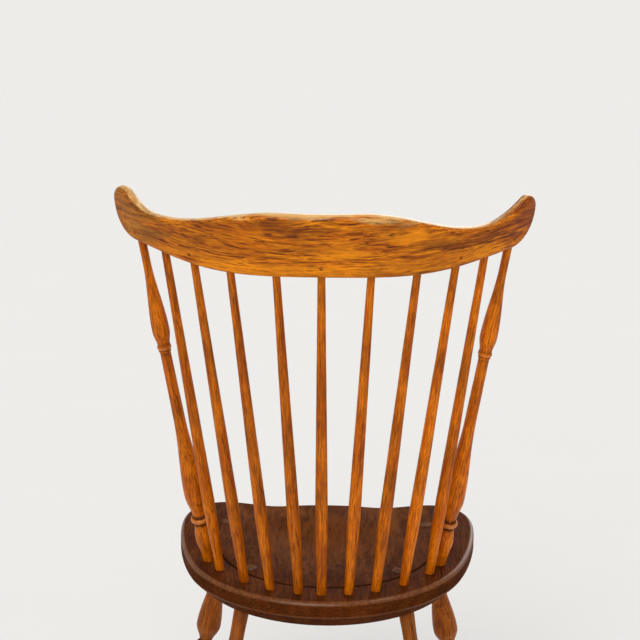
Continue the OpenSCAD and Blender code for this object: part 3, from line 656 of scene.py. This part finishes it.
def loftedSeat(rings):
    # A first ring is extruded from ring to ring and closed at both ends, and the seat is set at its tilt
    bm = bmesh.new()
    order = bm.verts.layers.int.new("order")
    grain, relief = woodLayers(bm)
    current = bmesh.ops.create_circle(bm, cap_ends=False, segments=len(rings[0]), radius=1)["verts"]
    for index, vert in enumerate(current):
        vert[order] = index
        vert.co, vert[relief] = rings[0][index]
    loop = bm.edges[:]
    bmesh.ops.edgeloop_fill(bm, edges=loop)
    for ring in rings[1:]:
        made = bmesh.ops.extrude_edge_only(bm, edges=loop)["geom"]
        for vert in only(bmesh.types.BMVert, made):
            vert.co, vert[relief] = ring[vert[order]]
        loop = [edge for edge in only(bmesh.types.BMEdge, made) if edge.is_boundary]
    bmesh.ops.edgeloop_fill(bm, edges=loop)
    faceOut(bm)
    for vert in bm.verts:
        x, y, z = vert.co
        vert[grain] = Vector((x, z, y))
        vert.co = seatPoint(x, y, z)
    bm.verts.layers.int.remove(bm.verts.layers.int["order"])
    return bm


bm = loftedSeat(seatRings())
seatTree = BVHTree.FromBMesh(bm)
finishPiece("saddleSeat", bm, seatMaterial, "seat_plank", "seat")

print("stage: crest rail")
crest = {
    "thick": 16.0, "midWide": 80.0, "flat": 42.0, "belly": 4.0, "bellyAt": 126.0, "rounding": 7.0,
    "squareFrom": 1.2,  # angle in radians from which a corner is rounded
    "steps": 34, "heelSteps": 14, "roundSteps": 16,
    "pitch": 7.0,  # spacing of the cuts that let the board bend
    "cutsAlong": 44, "cutsUp": 10,
    "planed": 0.20,  # how far both faces are planed in
    "ripple": 0.22,  # unevenness of the hand-planed faces
    "rippleLong": 60.0, "rippleWide": 26.0,
    "rimWearAndSheen": 1.2,  # reach of the worn upper edge and of the highlight painted on it
    # what the middle and the left ear add to the worn and painted highlight of the upper edge, and how much
    # duller it is on the right ear: amount, place, width
    "rimMiddle": (1.1, 0, 75), "rimLeftEar": (1.0, 262, 38), "rimDull": (0.50, -250, 50),
    # the lower edge is lightened a little too, partly as wear and partly as a painted highlight where its
    # arris catches the light
    "lowWearAndSheen": 0.55, "lowReach": 4.0,
}
# The ears were sawn by eye and differ a little.
ears = {
    leftSide: {"dipAt": 225.4, "dipWide": 49.2, "at": 283.6, "high": 69.4, "turn": 39.0, "end": 302.8,
               "endHigh": 51.5, "heelAt": 259.5, "heelHigh": 4.6},
    rightSide: {"dipAt": 210.4, "dipWide": 43.7, "at": 280.4, "high": 64.0, "turn": 24.0, "end": 294.9,
                "endHigh": 48.6, "heelAt": 250.0, "heelHigh": 1.5},
}
for ear in ears.values():
    ear["long"] = ear["end"] - ear["at"]
    ear["tall"] = ear["high"] - ear["endHigh"]
    ear["heelLong"] = ear["end"] - ear["heelAt"]
    ear["heelTall"] = ear["endHigh"] - ear["heelHigh"]
    ear["turn"] = radians(ear["turn"])
    ear["roundFrom"] = ear["at"] - ear["long"] * sin(ear["turn"])


def crestTop(s):
    ear = ears[leftSide if s > 0 else rightSide]
    s = abs(s)
    if s < ear["dipAt"]:
        return between(s, crest["flat"], ear["dipAt"], crest["midWide"], ear["dipWide"])
    if s < ear["roundFrom"]:
        length = ear["roundFrom"] - ear["dipAt"]
        x = (s - ear["dipAt"]) / length
        rise = ear["endHigh"] + ear["tall"] * cos(ear["turn"]) - ear["dipWide"]
        slope = ear["tall"] / ear["long"] * tan(ear["turn"]) * length
        return ear["dipWide"] + rise * (3 - 2 * x) * x * x + slope * (x - 1) * x * x
    share = min(1.0, (s - ear["at"]) / ear["long"])
    return ear["endHigh"] + ear["tall"] * sqrt(1 - share ** 2)


def crestLow(s):
    ear = ears[leftSide if s > 0 else rightSide]
    s = abs(s)
    if s < crest["bellyAt"]:
        return between(s, 0, crest["bellyAt"], 0, -crest["belly"])
    if s < ear["heelAt"]:
        return between(s, crest["bellyAt"], ear["heelAt"], -crest["belly"], ear["heelHigh"])
    share = min(1.0, (s - ear["heelAt"]) / ear["heelLong"])
    return ear["endHigh"] - ear["heelTall"] * sqrt(1 - share ** 2)


def crestHalf(side):
    # Outline of one half of the board from the middle of its lower edge round the ear to its upper edge
    ear = ears[side]
    steps = crest["steps"]
    below = [ear["heelAt"] * i / steps for i in range(steps)]
    above = [ear["roundFrom"] * (1 - i / steps) for i in range(steps + 1)]
    half = [(s, crestLow(side * s)) for s in below]
    for i in range(crest["heelSteps"]):
        turn = pi / 2 * i / crest["heelSteps"]
        s = ear["heelAt"] + ear["heelLong"] * sin(turn)
        half.append((s, ear["endHigh"] - ear["heelTall"] * cos(turn)))
    for i in range(crest["roundSteps"]):
        turn = pi / 2 - (pi / 2 + ear["turn"]) * i / crest["roundSteps"]
        s = ear["at"] + ear["long"] * sin(turn)
        half.append((s, ear["endHigh"] + ear["tall"] * cos(turn)))
    half += [(s, crestTop(side * s)) for s in above]
    return [(side * s, u) for s, u in half]


# The board is sawn flat, with s along it, u up it and n through it, and bends when its edges are rounded.
bm = bmesh.new()
sawn = crestHalf(leftSide) + list(reversed(crestHalf(rightSide)[1:-1]))
blank = bm.faces.new([bm.verts.new((s, u, -crest["thick"] / 2)) for s, u in sawn])
made = bmesh.ops.extrude_face_region(bm, geom=[blank])["geom"]
bmesh.ops.translate(bm, vec=(0, 0, crest["thick"]), verts=only(bmesh.types.BMVert, made))
bmesh.ops.recalc_face_normals(bm, faces=bm.faces)
corners = [edge for edge in bm.edges if edge.calc_face_angle(0) > crest["squareFrom"]]
bmesh.ops.bevel(bm, geom=corners, offset=crest["rounding"], offset_type="OFFSET", segments=5, profile=0.5,
                affect="EDGES", clamp_overlap=True, material=-1)
cuts = [((k * crest["pitch"], 0, 0), (1, 0, 0)) for k in range(-crest["cutsAlong"], crest["cutsAlong"] + 1)]
cuts += [((0, k * crest["pitch"], 0), (0, 1, 0)) for k in range(1, crest["cutsUp"] + 1)]
for at, facing in cuts:
    bmesh.ops.bisect_plane(bm, geom=everything(bm), plane_co=at, plane_no=facing, dist=0.05)
grain, relief = woodLayers(bm)
for vert in bm.verts:
    s, u, n = vert.co
    vert[grain] = Vector((u, n, s))
    fromTop = crestTop(s) - u
    fromLow = u - crestLow(s)
    # The upper edge is lightened as wear and as a painted highlight, most at the middle and the left ear and
    # less on the right ear, and the lower edge more faintly
    rimWearAndSheen = crest["rimWearAndSheen"] + bell(s, *crest["rimMiddle"]) + bell(s, *crest["rimLeftEar"])
    topWearAndSheen = (1 - fromTop / rimWearAndSheen) * (1 - bell(s, *crest["rimDull"]))
    vert[relief] = max(0.0, topWearAndSheen, crest["lowWearAndSheen"] - fromLow / crest["lowReach"])
    where = Vector((s / crest["rippleLong"], u / crest["rippleWide"], 1.7 if n > 0 else 8.3))
    uneven = crest["ripple"] * abs(noise.noise(where))
    vert.co = boardPoint(s, u, n * (1 - 2 * (crest["planed"] + uneven) / crest["thick"]))
bmesh.ops.recalc_face_normals(bm, faces=bm.faces)
bentCrest = finishPiece("bentCrest", bm, crestMaterial, "back_oak", "crest_rail")
keepCornersCrisp(bentCrest, angle=50)

print("stage: spindles and posts")
holes = {
    # They were bored by eye: uneven says how far left of its place each lies, from the left post to the right
    "seat": {"post": 209.5, "pitch": 34.2, "spread": 0.56,
             "uneven": (2.4, 0.5, 0.3, 1.8, -1.5, 2.0, -0.2, -0.6, -0.9, -0.9, 0.8)},
    "crest": {"post": 253.0, "pitch": 58.8, "spread": -0.37,
              "uneven": (3.0, 1.5, 1.1, 2.2, -0.9, 2.4, 0.0, -1.8, -2.5, -0.6, 0.0)},
    "pegRise": 14.0, "crestDeep": 28.0, "seatDeep": 29.0, "endRoom": 1.0,
}
middle = (chair["spindles"] + 1) // 2


def placeRound(row, i):
    # Place along a row of holes of spindle 1 to 9, or of the left post at 0 and the right post at 10
    k = middle - i
    if abs(k) == middle:
        return copysign(row["post"], k)
    return row["pitch"] * k + row["spread"] * k ** 3


def footOf(i):
    turn = placeRound(holes["seat"], i) / chair["seatArcR"]
    x = chair["seatArcR"] * sin(turn) + holes["seat"]["uneven"][i]
    return seatPoint(x, chair["seatArcR"] * (cos(turn) - 1))


def headArc(i):
    return placeRound(holes["crest"], i) + holes["crest"]["uneven"][i]


def headOf(i):
    s = headArc(i)
    return boardPoint(s, crestLow(s) + holes["pegRise"])


# The profile of a turned piece is a list of (diameter, height).
def curve(h0, d0, h1, d1, steps=14):
    return [(d0 + (d1 - d0) * ease(i / steps), h0 + (h1 - h0) * i / steps) for i in range(1, steps + 1)]


def bead(h, d, core, wide, steps=10):
    return [(core + (d - core) * sin(pi * i / steps), h - wide / 2 * cos(pi * i / steps))
            for i in range(steps + 1)]


def thickAt(profile, h):
    for (d0, h0), (d1, h1) in zip(profile, profile[1:]):
        if h0 <= h <= h1 and h1 > h0:
            return d0 + (d1 - d0) * (h - h0) / (h1 - h0)
    return profile[0][0] if h < profile[0][1] else profile[-1][0]


def tipInCrest(kind, span, plainFrom):
    # The plain tip of a piece in the crest's socket, with its end chamfered
    tip = kind["top"]
    cut = kind["tipChamfer"]
    top = span + holes["crestDeep"] - holes["pegRise"] - holes["endRoom"]
    return [(tip, plainFrom), (tip, top - cut), (tip - 2 * cut, top)]


turning = {
    "lumpWide": 9.0, "lumpLong": 45.0,
    "facets": 9,  # flats that the shave left round a piece
    "facetWander": 1.5, "facetLong": 90.0,
    "reliefAt": (-7, -4.5, -2.5, 2.5, 4.5, 7),  # heights round a point that say if it lies proud or hollow
    "reliefFull": 3.2,
}


def turnedBlank(profile, start, end, kind, seed, tone=0.0):
    # A profile is spun, made as uneven as its kind is, and set from start to end
    bm = bmesh.new()
    points = [(0.0, profile[0][1])] + profile + [(0.0, profile[-1][1])]
    line = [bm.verts.new((d / 2, 0, h)) for d, h in points]
    for a, b in zip(line, line[1:]):
        bm.edges.new((a, b))
    bmesh.ops.spin(bm, geom=everything(bm), cent=(0, 0, 0), axis=(0, 0, 1), dvec=(0, 0, 0),
                   angle=2 * pi, steps=kind["facesRound"], use_merge=True, use_duplicate=False)
    bmesh.ops.remove_doubles(bm, verts=bm.verts, dist=0.001)
    bmesh.ops.recalc_face_normals(bm, faces=bm.faces)
    grain, relief = woodLayers(bm)
    toneAndLightShift = bm.verts.layers.float.new("toneAndLightShift")
    for vert in bm.verts:
        # The piece's tone shift, which on the back's pieces is partly painted light, lighter towards the
        # right
        vert[toneAndLightShift] = tone
        x, y, h = vert.co
        radius = hypot(x, y)
        # each piece comes from another place in the timber
        vert[grain] = Vector((x + 37.0 * seed, y - 53.0 * seed, h + 911.0 * seed))
        around = sum(thickAt(profile, h + off) for off in turning["reliefAt"]) / len(turning["reliefAt"])
        vert[relief] = max(-1.0, min(1.0, (thickAt(profile, h) - around) / turning["reliefFull"]))
        if radius > 0.01:
            wander = turning["facetWander"] * noise.noise(Vector((h / turning["facetLong"], seed, 0.5)))
            flats = kind["shaved"] * cos(turning["facets"] * atan2(y, x) + 5 * seed + wander)
            wide = turning["lumpWide"]
            lump = noise.noise(Vector((x / wide, y / wide, h / turning["lumpLong"] + 7 * seed)))
            grow = 1 + (flats + kind["wobble"] * lump) / radius
            vert.co = Vector((x * grow, y * grow, h))
    standOn(bm, start, end - start)
    return bm


# How much lighter each piece of the back is painted than the timber's usual tone, from the left post to the
# right: partly painted light, lighter towards the right post where more light falls, and partly each piece's
# own tone
backToneAndLight = (0.08, 0.00, -0.06, -0.06, -0.04, -0.02, 0.08, 0.06, 0.22, 0.18, 0.28)
spindle = {
    "foot": 13.0, "swell": 17.0, "swellAt": 118.0, "top": 9.8, "straight": 8.0,
    "footChamfer": 0.8, "tipChamfer": 0.6, "tipRing": 12.0,
    "plainTaper": 0.85, "easedTaper": 0.15, "taperSteps": 30,
    "facesRound": 28, "shaved": 0.07, "wobble": 0.16,
}


def spindleProfile(span):
    bottom = -(holes["seatDeep"] - holes["endRoom"])
    foot = spindle["foot"]
    swell = spindle["swell"]
    swellAt = spindle["swellAt"]
    taper = span - holes["pegRise"] - spindle["straight"]
    cut = spindle["footChamfer"]
    # Two of these rings lie close below and above the seat's top
    profile = [(foot - 2 * cut, bottom)] + [(foot, h) for h in (bottom + cut, -4.0, 2.0, spindle["straight"])]
    profile += curve(spindle["straight"], foot, swellAt, swell, steps=16)
    steps = spindle["taperSteps"]
    for i in range(1, steps + 1):
        share = i / steps
        thinner = share * spindle["plainTaper"] + ease(share) * spindle["easedTaper"]
        thick = swell + (spindle["top"] - swell) * thinner
        profile.append((thick, swellAt + (taper - swellAt) * i / steps))
    return profile + tipInCrest(spindle, span, taper + spindle["tipRing"])


for i in range(1, chair["spindles"] + 1):
    base = footOf(i)
    head = headOf(i)
    profile = spindleProfile((head - base).length)
    bm = turnedBlank(profile, base, head, spindle, i, backToneAndLight[i])
    finishPiece(f"spindle{i}", bm, spindleMaterial, "back_oak", f"spindle_{i}")

post = {
    "tenon": 17.0, "foot": 24.0, "footAt": 42.0, "straight": 10.0,
    "lowRing": 26.0, "lowRingAt": 74.0, "lowNeck": 19.5, "lowVase": 30.0, "lowVaseAt": 117.0,
    "stem": 15.8, "stemAt": 246.0, "waist": 14.2, "ring": 18.8, "ringDown": 157.0,
    "vase": 23.0, "vaseDown": 131.0, "neckDown": 31.0, "top": 10.4,
    "ringWide": 8.0, "neckWide": 3.0, "tipChamfer": 0.6, "tipRing": 6.0,
    "facesRound": 40, "shaved": 0.0, "wobble": 0.12, "seed": 20,
    "tenonLong": 57.2,  # before it is trimmed
    "proud": 0.35,  # how far the tenon stands out of the seat's underside
    "grime": 0.4,
}


def postProfile(span):
    crestAt = span - holes["pegRise"]
    ringAt = crestAt - post["ringDown"]
    vaseAt = crestAt - post["vaseDown"]
    wide = post["ringWide"]
    neck = post["neckWide"]
    lowNeck = post["lowNeck"]
    stem = post["stem"]
    waist = post["waist"]
    core = (waist + post["ring"]) / 2
    profile = [(post["tenon"], h) for h in (-post["tenonLong"], -6.0, 1.5, post["straight"])]
    profile += curve(post["straight"], post["tenon"], post["footAt"], post["foot"])
    profile += curve(post["footAt"], post["foot"], post["lowRingAt"] - wide / 2 - neck, lowNeck)
    profile += bead(post["lowRingAt"], post["lowRing"], lowNeck, wide)
    profile += [(lowNeck, post["lowRingAt"] + wide / 2 + neck)]
    profile += curve(post["lowRingAt"] + wide / 2 + neck, lowNeck, post["lowVaseAt"], post["lowVase"])
    profile += curve(post["lowVaseAt"], post["lowVase"], post["stemAt"], stem, steps=22)
    stemLong = ringAt - wide / 2 - neck - post["stemAt"]
    profile += [(stem + (waist - stem) * i / 8, post["stemAt"] + stemLong * i / 8) for i in range(1, 9)]
    profile += bead(ringAt - wide / 2, core, waist, neck)
    profile += bead(ringAt + neck / 2, post["ring"], core, wide - neck)
    profile += curve(ringAt + wide / 2, core, vaseAt, post["vase"])
    profile += curve(vaseAt, post["vase"], crestAt - post["neckDown"], post["top"], steps=22)
    return profile + tipInCrest(post, span, crestAt - post["tipRing"])


def trim(bm, at, facing, grime=0.0, border=0.5):
    # Cuts off what lies beyond a plane and closes the cut with a fan of faces, darkened where grime is over 0
    cut = bmesh.ops.bisect_plane(bm, geom=everything(bm), plane_co=at, plane_no=facing,
                                 clear_outer=True, dist=0.0005)["geom_cut"]
    faces = bmesh.ops.edgeloop_fill(bm, edges=only(bmesh.types.BMEdge, cut))["faces"]
    bmesh.ops.inset_individual(bm, faces=faces, thickness=border, depth=0.0)
    faceOut(bm)
    if grime > 0:
        relief = bm.verts.layers.float["relief"]
        for vert in bm.verts:
            if abs((vert.co - at).dot(facing)) < 0.01:
                vert[relief] = -grime


seatUp = (seatPoint(0, 0, 1) - seatPoint(0, 0, 0)).normalized()
seatUnder = seatPoint(0, 0, -seat["thick"])
postAxes = {}
for side, sideName in sides:
    i = 0 if side == leftSide else chair["spindles"] + 1
    base = footOf(i)
    head = headOf(i)
    profile = postProfile((head - base).length)
    bm = turnedBlank(profile, base, head, post, post["seed"] + i, backToneAndLight[i])
    trim(bm, seatUnder - seatUp * post["proud"], -seatUp, post["grime"])
    finishPiece(f"{sideName}Post", bm, spindleMaterial, "back_oak", f"post_{sideName}")
    postAxes[side] = (base, (base - head).normalized())

print("stage: legs and stretchers")
leg = {
    "front": {"x": 152.0, "y": 262.0, "splay": 11.0, "rake": 7.0, "seed": 31, "tone": 0.06},
    "rear": {"x": 106.0, "y": 84.0, "splay": 10.0, "rake": -18.0, "seed": 30, "tone": -0.06},
    "leftTone": 0.03,
    "tenon": 22.0, "foot": 20.0, "straight": 7.0, "swell": 34.0, "neck": 20.0,
    "ring": 29.0, "ringDown": 220.0, "vase": 38.0, "vaseDown": 184.0, "stemDown": 95.0,
    "ringWide": 9.0, "neckWide": 3.0, "facesRound": 44, "shaved": 0.0, "wobble": 0.14,
    "over": 20.0, "under": 12.0,  # what is trimmed off the tenon's end and the foot
    "proud": 0.35, "grime": 0.62,
}
stretcher = {
    "height": 150.0, "tenon": 13.0, "plain": 8.0, "past": 3.0, "sideSwell": 27.0,
    "crossSwell": 26.0, "crossRing": 21.0, "crossRingAt": 60.0, "ringWide": 8.0,
    "facesRound": 36, "shaved": 0.0, "wobble": 0.14, "sideSeed": 40, "crossSeed": 45,
}


def legTop(side, row):
    return seatPoint(side * leg[row]["x"], -leg[row]["y"])


def legDown(side, row):
    splay = tan(radians(leg[row]["splay"]))
    rake = tan(radians(leg[row]["rake"]))
    return Vector((side * splay, -rake, -1))


def legAt(side, row, z):
    top = legTop(side, row)
    return top + legDown(side, row) * (top.z - z)


def legProfile(length, perHeight):
    wide = leg["ringWide"]
    gap = leg["neckWide"]
    swellAt = stretcher["height"] * perHeight
    ringAt = length - leg["ringDown"]
    vaseAt = length - leg["vaseDown"]
    stemAt = length - leg["stemDown"]
    neck = leg["neck"]
    profile = [(leg["foot"], -leg["under"]), (leg["foot"], leg["straight"])]
    profile += curve(leg["straight"], leg["foot"], swellAt, leg["swell"], steps=20)
    profile += curve(swellAt, leg["swell"], ringAt - wide / 2 - gap, neck)
    profile += bead(ringAt, leg["ring"], neck, wide)
    profile += [(neck, ringAt + wide / 2 + gap)]
    profile += curve(ringAt + wide / 2 + gap, neck, vaseAt, leg["vase"])
    profile += curve(vaseAt, leg["vase"], stemAt, neck, steps=20)
    profile += curve(stemAt, neck, length - seat["thick"] * perHeight - leg["straight"], leg["tenon"])
    return profile + [(leg["tenon"], length + leg["over"])]


tenonEnds = []
for side, sideName in sides:
    for row in ("front", "rear"):
        top = legTop(side, row)
        foot = legAt(side, row, 0)
        axis = (top - foot).normalized()
        profile = legProfile((top - foot).length, legDown(side, row).length)
        tone = leg[row]["tone"] + leg["leftTone"] * side
        bm = turnedBlank(profile, foot, top, leg, leg[row]["seed"] + 3 * side, tone)
        hit, normal = seatTree.ray_cast(top + axis * (3 * leg["over"]), -axis)[:2]
        trim(bm, hit + normal * leg["proud"], normal, leg["grime"])
        trim(bm, Vector((0, 0, 0)), Vector((0, 0, -1)))
        finishPiece(f"{row}{sideName.capitalize()}Leg", bm, legMaterial, "leg_wood", f"leg_{row}_{sideName}")
        tenonEnds.append((hit, normal, axis))


def stretcherProfile(span, swell, clear, ringAt):
    tenon = stretcher["tenon"]
    mid = span / 2
    wide = stretcher["ringWide"]
    core = (swell + tenon) / 2
    if ringAt:
        half = curve(clear, tenon, mid - ringAt - wide / 2, core)
        half += bead(mid - ringAt, stretcher["crossRing"], core, wide)
        half += curve(mid - ringAt + wide / 2, core, mid, swell)
    else:
        half = curve(clear, tenon, mid, swell, steps=22)
    back = [(d, span - h) for d, h in reversed(half[:-1])]
    ends = stretcher["past"]
    return [(tenon, -ends), (tenon, clear)] + half + back + [(tenon, span - clear), (tenon, span + ends)]


sideMiddles = {}
clear = leg["swell"] / 2 + stretcher["plain"]
for side, sideName in sides:
    start = legAt(side, "front", stretcher["height"])
    end = legAt(side, "rear", stretcher["height"])
    sideMiddles[side] = (start + end) / 2
    profile = stretcherProfile((end - start).length, stretcher["sideSwell"], clear, 0)
    bm = turnedBlank(profile, start, end, stretcher, stretcher["sideSeed"] + side)
    finishPiece(f"{sideName}Stretcher", bm, legMaterial, "leg_wood", f"side_stretcher_{sideName}")
start = sideMiddles[rightSide]
end = sideMiddles[leftSide]
clear = stretcher["sideSwell"] / 2 + stretcher["plain"]
profile = stretcherProfile((end - start).length, stretcher["crossSwell"], clear, stretcher["crossRingAt"])
bm = turnedBlank(profile, start, end, stretcher, stretcher["crossSeed"])
finishPiece("crossStretcher", bm, legMaterial, "leg_wood", "cross_stretcher")

print("stage: pegs and wedges")
peg = {
    "thick": 5.0, "proud": 0.35,
    "dome": ((0.45, -0.02), (0.82, 0.06), (0.97, 0.3), (1, 1)),  # share of the thickness, in from the end
    "through": (0, 2, 5, 8, 10),  # the pegged pieces, from the left post to the right
    "facesRound": 10, "shaved": 0.12, "wobble": 0.1, "seed": 60,
}
wedge = {
    "thick": 3.8, "point": 0.9, "long": 26.0,
    "spare": 6.0,  # pared off almost level with the tenon
    "room": 0.4, "proud": 0.2, "seed": 8,
}


def joined(parts):
    # One bmesh from several, with their layers kept
    whole = bmesh.new()
    woodLayers(whole)
    for part in parts:
        scratch = bpy.data.meshes.new("scratch")
        part.to_mesh(scratch)
        part.free()
        whole.from_mesh(scratch)
        bpy.data.meshes.remove(scratch)
    return whole


pegs = []
for i in peg["through"]:
    s = headArc(i)
    u = crestLow(s) + holes["pegRise"]
    half = crest["thick"] / 2 + peg["proud"]
    start = boardPoint(s, u, -half)
    end = boardPoint(s, u, half)
    long = (end - start).length
    thick = peg["thick"]
    profile = [(thick * share, h) for share, h in peg["dome"]] + [(thick, long / 2)]
    profile += [(thick * share, long - h) for share, h in reversed(peg["dome"])]
    pegs.append(turnedBlank(profile, start, end, peg, peg["seed"] + i))
finishPiece("crestPegs", joined(pegs), pegMaterial, "peg_wood", "crest_pegs")


def wedgeBlank(at, facing, axis, tenon, seed, proud):
    # A tapered strip across a tenon's end, pared almost level with it
    bm = bmesh.new()
    bmesh.ops.create_cube(bm, size=1)
    width = sqrt(tenon ** 2 - wedge["thick"] ** 2) - wedge["room"]
    bmesh.ops.subdivide_edges(bm, edges=bm.edges[:], cuts=3, use_grid_fill=True)
    grain = woodLayers(bm)[0]
    for vert in bm.verts:
        x, y, z = vert.co
        h = (z - 0.5) * wedge["long"] + wedge["spare"]
        thick = wedge["point"] + (wedge["thick"] - wedge["point"]) * (z + 0.5)
        vert.co = Vector((x * thick, y * width, h))
        vert[grain] = vert.co + Vector((17.0 * seed, 29.0 * seed, 0))
    standOn(bm, at, axis)
    trim(bm, at + facing * proud, facing)
    return bm


proud = leg["proud"] + wedge["proud"]
parts = [wedgeBlank(*end, leg["tenon"], k, proud) for k, end in enumerate(tenonEnds)]
finishPiece("legWedges", joined(parts), wedgeMaterial, "wedge_wood", "leg_wedges")
proud = post["proud"] + wedge["proud"]
parts = []
for side, (base, down) in postAxes.items():
    at = base + down * ((seatUnder - base).dot(seatUp) / down.dot(seatUp))
    parts.append(wedgeBlank(at, -seatUp, down, post["tenon"], wedge["seed"] + side, proud))
finishPiece("postWedges", joined(parts), wedgeMaterial, "wedge_wood", "post_wedges")
